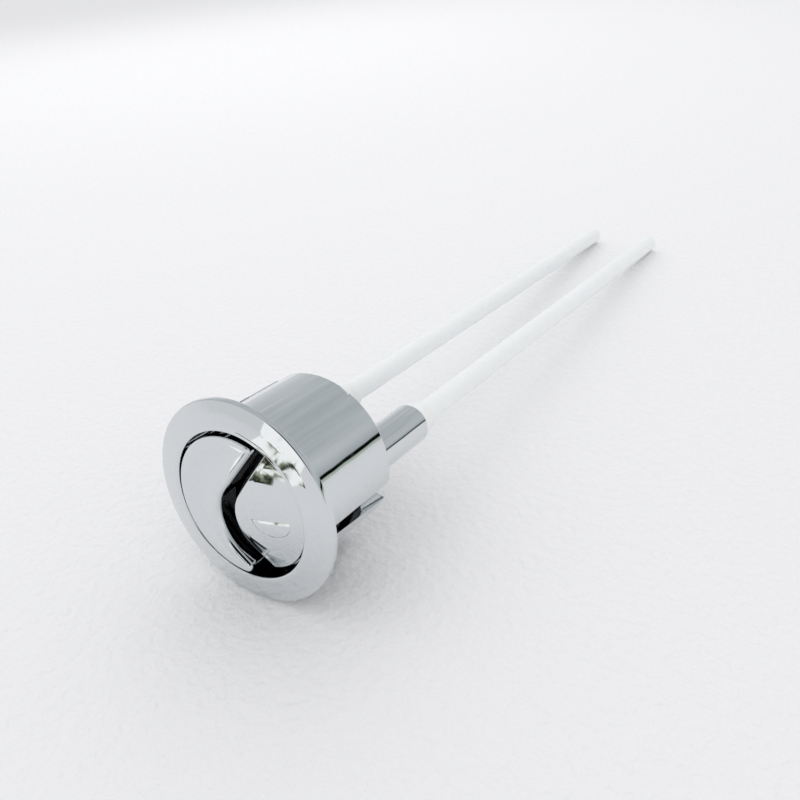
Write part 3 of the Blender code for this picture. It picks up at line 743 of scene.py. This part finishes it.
def make_stem(label, x):
    stem = spun([(stem_radius, stem_high.z, 0.1 * MM), (stem_radius, stem_low.z, 0.25 * MM),
                 (stem_bore, stem_low.z, 0.15 * MM), (stem_bore, stem_high.z, 0.1 * MM)])
    notch = block((3 * STEM_WALL, KEY_WIDTH + 2 * GAP, 2 * (KEY_LENGTH + GAP)),
                  (0.0, 0.0, stem_low.z), KEY_ANGLE, stem_radius - STEM_WALL / 2)
    stem = carve(stem, notch)
    bmesh.ops.translate(stem, vec=(x, 0.0, 0.0), verts=stem.verts)
    finish_piece(f"{label}_stem_tube", stem, chrome, f"{label}_button", [f"{label}_flush_stem"],
                 edge=0.05 * MM)


def make_bush(label, x):
    """Plug, collar and tapered tail around the rod, with the key that fits the stem's keyway."""
    plug_radius = stem_bore - GAP
    rod_bore = rod_radius + GAP
    collar_top = stem_low.z - GAP
    collar_bottom = collar_top - COLLAR_LENGTH
    bush = spun([
        (0.0, bush_high.z, 0.0),
        (plug_radius, bush_high.z, 0.3 * MM),
        (plug_radius, collar_top, 0.0),
        (plug_radius + COLLAR_LIP, collar_top, 0.15 * MM),
        (plug_radius + COLLAR_LIP, collar_bottom, 0.3 * MM),
        (plug_radius, collar_bottom, 0.2 * MM),
        (rod_bore + TAIL_WALL, bush_low.z, 0.2 * MM),
        (rod_bore, bush_low.z, 0.1 * MM),
        (rod_bore, bush_high.z - BUSH_END_WALL, 0.0),
        (0.0, bush_high.z - BUSH_END_WALL, 0.0),
    ], closed=False, steps=96)
    inner_face = plug_radius - STEM_WALL / 2
    key = block((stem_radius - inner_face, KEY_WIDTH, KEY_LENGTH),
                (0.0, 0.0, collar_top - GAP + KEY_LENGTH / 2), KEY_ANGLE, (stem_radius + inner_face) / 2)
    bush = carve(bush, key, 'UNION')
    bmesh.ops.translate(bush, vec=(x, 0.0, 0.0), verts=bush.verts)
    finish_piece(f"{label}_bush", bush, white_plastic, f"{label}_button", [f"{label}_rod_bush"],
                 edge=0.05 * MM)


def make_rod(label, x):
    rod = spun([(0.0, rod_high.z, 0.0), (rod_radius, rod_high.z, 0.3 * MM),
                (rod_radius, rod_low.z, 1.7 * MM), (0.0, rod_low.z, 0.0)], closed=False, steps=96, x=x)
    finish_piece(f"{label}_rod", rod, white_plastic, f"{label}_button", [f"{label}_push_rod"])


def make_buffer(label, x):
    outer = (buffer_high.x - buffer_low.x) / 2
    ring = spun([(outer, buffer_high.z, 0.2 * MM), (outer, buffer_low.z, 0.2 * MM),
                 (neck_radius + GAP, buffer_low.z, 0.1 * MM),
                 (neck_radius + GAP, buffer_high.z, 0.1 * MM)], steps=96, x=x)
    finish_piece(f"{label}_rubber_buffer", ring, rubber, f"{label}_button", [f"{label}_buffer"])


for label, side in SIDES:
    make_stem(label, side * stem_x)
    make_bush(label, side * stem_x)
    make_rod(label, side * stem_x)
    make_buffer(label, side * stem_x)

# %% [markdown]
# ## Return springs
# A coil is a helix with a round section.  A curve gives the round section for free.  It is made a mesh
# and laid down.

# %% Wind the springs
WIRE_RADIUS = 0.3 * MM
TURNS = 5
POINTS_PER_TURN = 32


def make_spring(label, side):
    low, high = measured(f"{label}_return_spring")
    radius = (high.x - low.x) / 2 - WIRE_RADIUS
    curve = bpy.data.curves.new("wire", 'CURVE')
    curve.dimensions = '3D'
    curve.bevel_depth = WIRE_RADIUS
    curve.bevel_resolution = 3
    curve.use_fill_caps = True
    line = curve.splines.new('POLY')
    count = TURNS * POINTS_PER_TURN + 1
    line.points.add(count - 1)
    for i, point in enumerate(line.points):
        place = radius * heading(360.0 * i / POINTS_PER_TURN)
        height = low.z + WIRE_RADIUS + (high.z - low.z - 2 * WIRE_RADIUS) * i / (count - 1)
        point.co = (place.x + side * stem_x, place.y, height, 1.0)
    wire = bpy.data.objects.new("wire", curve)
    bpy.context.scene.collection.objects.link(wire)
    bpy.context.view_layer.update()
    mesh = bpy.data.meshes.new_from_object(wire.evaluated_get(bpy.context.evaluated_depsgraph_get()))
    bm = bmesh.new()
    bm.from_mesh(mesh)
    bpy.data.meshes.remove(mesh)
    bpy.data.curves.remove(curve)
    bmesh.ops.remove_doubles(bm, verts=bm.verts, dist=0.001 * MM)
    bmesh.ops.recalc_face_normals(bm, faces=bm.faces)
    spring = finish_piece(f"{label}_spring", bm, spring_wire, "housing", [f"{label}_return_spring"])
    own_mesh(spring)


for label, side in SIDES:
    make_spring(label, side)

# %% [markdown]
# ## Hidden pieces that keep the frame's shape
# The plungers, screws and stem pins sit out of sight and their plain shapes are right, so the frame's
# own nodes stay.  They only need the right finish.

# %% Give the hidden pieces their finish
KEPT = (("flush_plunger", black_acetal_and_gap_shade), ("cap_screw", zinc_plate), ("stem_pin", zinc_plate))
for label, side in SIDES:
    for piece, finish in KEPT:
        for material_slot in frame["nodes"][f"{label}_{piece}"].material_slots:
            material_slot.material = finish

# %% [markdown]
# ## Floor and light
# A pale card lies under the unit and fills the view.  Even white light and one large soft lamp at the
# upper left light it.  Chrome is a mirror and only shows what is around it, so its rays see a room of
# their own: grey walls, a dark strip low on the right and a dark figure in front.  The strip draws the
# crisp black line along the barrel.

# %% Lay the floor
TABLE_REACH = 1.6
floor_bm = bmesh.new()
bmesh.ops.create_grid(floor_bm, x_segments=2, y_segments=2, size=TABLE_REACH)
floor = as_object("table", floor_bm)
paper, paper_tree, paper_shader, paper_place = start_material("matt_white_card", "#F0F0F1", 0.9)
fibres = add_node(paper_tree, "ShaderNodeTexNoise", Vector=paper_place, Scale=0.42, Detail=2.5)
press_marks = add_node(paper_tree, "ShaderNodeBump", Height=fibres.outputs["Fac"], Strength=0.6,
                       Distance=0.0010)
paper_tree.links.new(press_marks.outputs["Normal"], paper_shader.inputs["Normal"])
floor.data.materials.append(paper)


# %% Helpers that paint a room with nodes
def colour_bands(tree, factor, bands):
    """Colour ramp with (position, hex colour) stops."""
    ramp = add_node(tree, "ShaderNodeValToRGB", Fac=factor)
    stops = ramp.color_ramp.elements
    stops.remove(stops[1])
    stops[0].position = bands[0][0]
    stops[0].color = linear(bands[0][1])
    for position, colour in bands[1:]:
        stops.new(position).color = linear(colour)
    return ramp.outputs["Color"]


def plain(tree, hex_colour):
    """One even colour."""
    colour = add_node(tree, "ShaderNodeRGB").outputs["Color"]
    colour.default_value = linear(hex_colour)
    return colour


def maths(tree, operation, first, second):
    """One value made from two, by an operation such as 'ADD'."""
    node = add_node(tree, "ShaderNodeMath", {"operation": operation})
    tree.links.new(first, node.inputs[0])
    tree.links.new(second, node.inputs[1])
    return node.outputs["Value"]


def mixed(tree, factor, first, second):
    """The first colour where factor is 0, the second where it is 1."""
    mix = add_node(tree, "ShaderNodeMix", {"data_type": "RGBA"}, Factor=factor)
    tree.links.new(first, mix.inputs["A"])
    tree.links.new(second, mix.inputs["B"])
    return mix.outputs["Result"]


def toward(tree, direction, bearing, rise, outer, inner):
    """1 round a bearing and a rise in degrees, fading to 0 between two cosines of the angle to it."""
    flat = math.cos(math.radians(rise))
    way = (flat * math.cos(math.radians(bearing)), flat * math.sin(math.radians(bearing)),
           math.sin(math.radians(rise)))
    dot = add_node(tree, "ShaderNodeVectorMath", {"operation": 'DOT_PRODUCT'})
    tree.links.new(direction, dot.inputs[0])
    dot.inputs[1].default_value = way
    return add_node(tree, "ShaderNodeMapRange", {"interpolation_type": 'SMOOTHSTEP'},
                    Value=dot.outputs["Value"], From_Min=outer, From_Max=inner).outputs["Result"]


# %% Paint the room
STRIP_TOWARD = (32.0, 4.0, 0.80, 0.93)
FIGURE_TOWARD = (-66.0, 42.0, 0.86, 0.95)


def make_room():
    """Grey room for the rays that leave a mirror, and even white light for all others."""
    world = bpy.data.worlds.new("soft_room")
    world.use_nodes = True
    bpy.context.scene.world = world
    tree = world.node_tree
    direction = add_node(tree, "ShaderNodeTexCoord").outputs["Generated"]
    height = add_node(tree, "ShaderNodeSeparateXYZ", Vector=direction).outputs["Z"]
    clouds = add_node(tree, "ShaderNodeTexNoise", Vector=direction, Scale=5.0, Detail=3.0,
                      Roughness=0.6).outputs["Fac"]
    high_wall = colour_bands(tree, clouds, [(0.30, "#B6BCBF"), (0.50, "#C3C8CA"), (0.62, "#CCD1D2"),
                                            (0.75, "#DCDFE1")])
    low_wall = colour_bands(tree, height, [(0.0, "#E0E3E4"), (0.30, "#D2D6D8"), (0.5, "#C3C8CA")])
    above = colour_bands(tree, height, [(0.15, "#000000"), (0.5, "#FFFFFF")])
    walls = mixed(tree, above, low_wall, high_wall)
    strip = colour_bands(tree, height, [(0.0, "#C4CDC6"), (0.035, "#A9B6A6"), (0.045, "#050606"),
                                        (0.095, "#08090A"), (0.110, "#ABB1B4"), (0.4, "#C0C6C9")])
    low_down = colour_bands(tree, height, [(0.10, "#FFFFFF"), (0.35, "#000000")])
    strip_mask = maths(tree, 'MULTIPLY', toward(tree, direction, *STRIP_TOWARD), low_down)
    room = mixed(tree, strip_mask, walls, strip)
    room = mixed(tree, toward(tree, direction, *FIGURE_TOWARD), room, plain(tree, "#131415"))
    seen_in_chrome = add_node(tree, "ShaderNodeLightPath").outputs["Is Glossy Ray"]
    background = tree.nodes["Background"]
    tree.links.new(mixed(tree, seen_in_chrome, plain(tree, "#F5F5F6"), room),
                   background.inputs["Color"])
    background.inputs["Strength"].default_value = 1.0


make_room()


# %% Set the soft lamp
def add_lamp(name, size, power, place, target):
    """Soft lamp that lights the scene but leaves no shape in the chrome."""
    lamp = bpy.data.lights.new(name, 'AREA')
    lamp.shape = 'RECTANGLE'
    lamp.size, lamp.size_y = size
    lamp.energy = power
    obj = bpy.data.objects.new(name, lamp)
    bpy.context.scene.collection.objects.link(obj)
    obj.location = place
    obj.rotation_euler = (Vector(target) - Vector(place)).to_track_quat('-Z', 'Y').to_euler()
    obj.visible_glossy = False


add_lamp("key_lamp", size=(0.8, 0.8), power=1.4, place=(-0.5, 0.4, 0.6), target=(0.0, 0.0, 0.0))

# %% [markdown]
# ## The window
# The small cap and the bezel mirror a bright window with plants low in it.  A flat cap mirrors only a
# small part of a far room, so the window is a card that stands close to the unit, and a curtain cuts
# its upper left away.  A second small pane, nearer still, is what the sloping side of the half moon
# mirrors.  Only the chrome sees the card: the floor and the plastics get no light or shadow from it.

# %% Hang the window card
WINDOW_WIDTH = 64.0 * MM
WINDOW_LOW = 7.0 * MM
WINDOW_HIGH = 74.0 * MM
CURTAIN_EDGE = ((0.52, 1.0), (0.36, 0.48), (0.0, 0.36))
WINDOW_BEARING = -132.0
WINDOW_REACH = 80.0 * MM
WINDOW_START = 3.0 * MM
PANE_LEFT, PANE_RIGHT = -4.0 * MM, 5.5 * MM
PANE_LOW, PANE_HIGH = 21.5 * MM, 27.5 * MM
PANE_NEARER = 58.0 * MM


def window_glow():
    """White light with the dark leaves of plants, denser towards the sill."""
    material, tree, shader, spot = start_material("window_light", "#000000", 1.0)
    shader.inputs["Emission Strength"].default_value = 1.15
    leaves = add_node(tree, "ShaderNodeTexNoise", Vector=spot, Scale=0.11, Detail=4.0, Roughness=0.6)
    height = add_node(tree, "ShaderNodeSeparateXYZ", Vector=spot).outputs["Z"]
    lower = add_node(tree, "ShaderNodeMapRange", Value=height, From_Min=8.0, From_Max=40.0,
                     To_Min=0.14, To_Max=-0.06)
    growth = maths(tree, 'ADD', leaves.outputs["Fac"], lower.outputs["Result"])
    shades = colour_bands(tree, growth, [(0.50, "#FFFFFF"), (0.56, "#EEF1EC"), (0.59, "#8F957F"),
                                         (0.64, "#23271D")])
    tree.links.new(shades, shader.inputs["Emission Color"])
    return material


def make_window_card():
    """Both panes as one mesh; its x runs along the window and its y comes towards the unit."""
    window = [(0.0, 0.0, WINDOW_LOW), (WINDOW_WIDTH, 0.0, WINDOW_LOW), (WINDOW_WIDTH, 0.0, WINDOW_HIGH)]
    window += [(along * WINDOW_WIDTH, 0.0, up * WINDOW_HIGH) for along, up in CURTAIN_EDGE]
    small_pane = [(PANE_LEFT, PANE_NEARER, PANE_LOW), (PANE_RIGHT, PANE_NEARER, PANE_LOW),
                  (PANE_RIGHT, PANE_NEARER, PANE_HIGH), (PANE_LEFT, PANE_NEARER, PANE_HIGH)]
    card_bm = bmesh.new()
    for pane in (window, small_pane):
        card_bm.faces.new([card_bm.verts.new(corner) for corner in pane])
    card = as_object("window_card", card_bm)
    bearing = math.radians(WINDOW_BEARING)
    ahead = Vector((math.cos(bearing), math.sin(bearing), 0.0))
    sideways = Vector((-ahead.y, ahead.x, 0.0))
    below_flange = Vector((flange_centre.x, flange_centre.y, 0.0))
    place = below_flange + WINDOW_REACH * ahead + WINDOW_START * sideways
    turn = Matrix.Rotation(math.radians(WINDOW_BEARING + 90.0), 4, 'Z')
    card.data.transform(Matrix.Translation(place) @ turn)
    card.data.materials.append(window_glow())
    card.visible_camera = False
    card.visible_diffuse = False
    card.visible_shadow = False


make_window_card()

# %% [markdown]
# ## Camera
# The view is from the button's side, above and to the right, close enough for strong perspective.  The
# place is a distance, bearing and rise from the flange's centre.  The aim has its own three angles, so
# the unit need not sit in the middle.

# %% Place the camera
DISTANCE = 0.1882
BEARING = 48.9
RISE = 36.4
AIM_BEARING = 35.83
AIM_DOWN = 31.42
ROLL = -5.2
LENS = 39.02
SENSOR_WIDTH = 36.0
CLIP_START = 5.0 * MM
camera_data = bpy.data.cameras.new("camera")
camera_data.lens = LENS
camera_data.sensor_width = SENSOR_WIDTH
camera_data.clip_start = CLIP_START
camera = bpy.data.objects.new("camera", camera_data)
bpy.context.scene.collection.objects.link(camera)
bpy.context.scene.camera = camera
flat = DISTANCE * math.cos(math.radians(RISE))
offset = Vector((flat * math.sin(math.radians(BEARING)), -flat * math.cos(math.radians(BEARING)),
                 DISTANCE * math.sin(math.radians(RISE))))
aim = (Matrix.Rotation(math.radians(AIM_BEARING), 4, 'Z')
       @ Matrix.Rotation(math.radians(90.0 - AIM_DOWN), 4, 'X')
       @ Matrix.Rotation(math.radians(ROLL), 4, 'Z'))
camera.matrix_world = Matrix.Translation(flange_centre + offset) @ aim
bpy.context.scene.view_settings.view_transform = 'Standard'
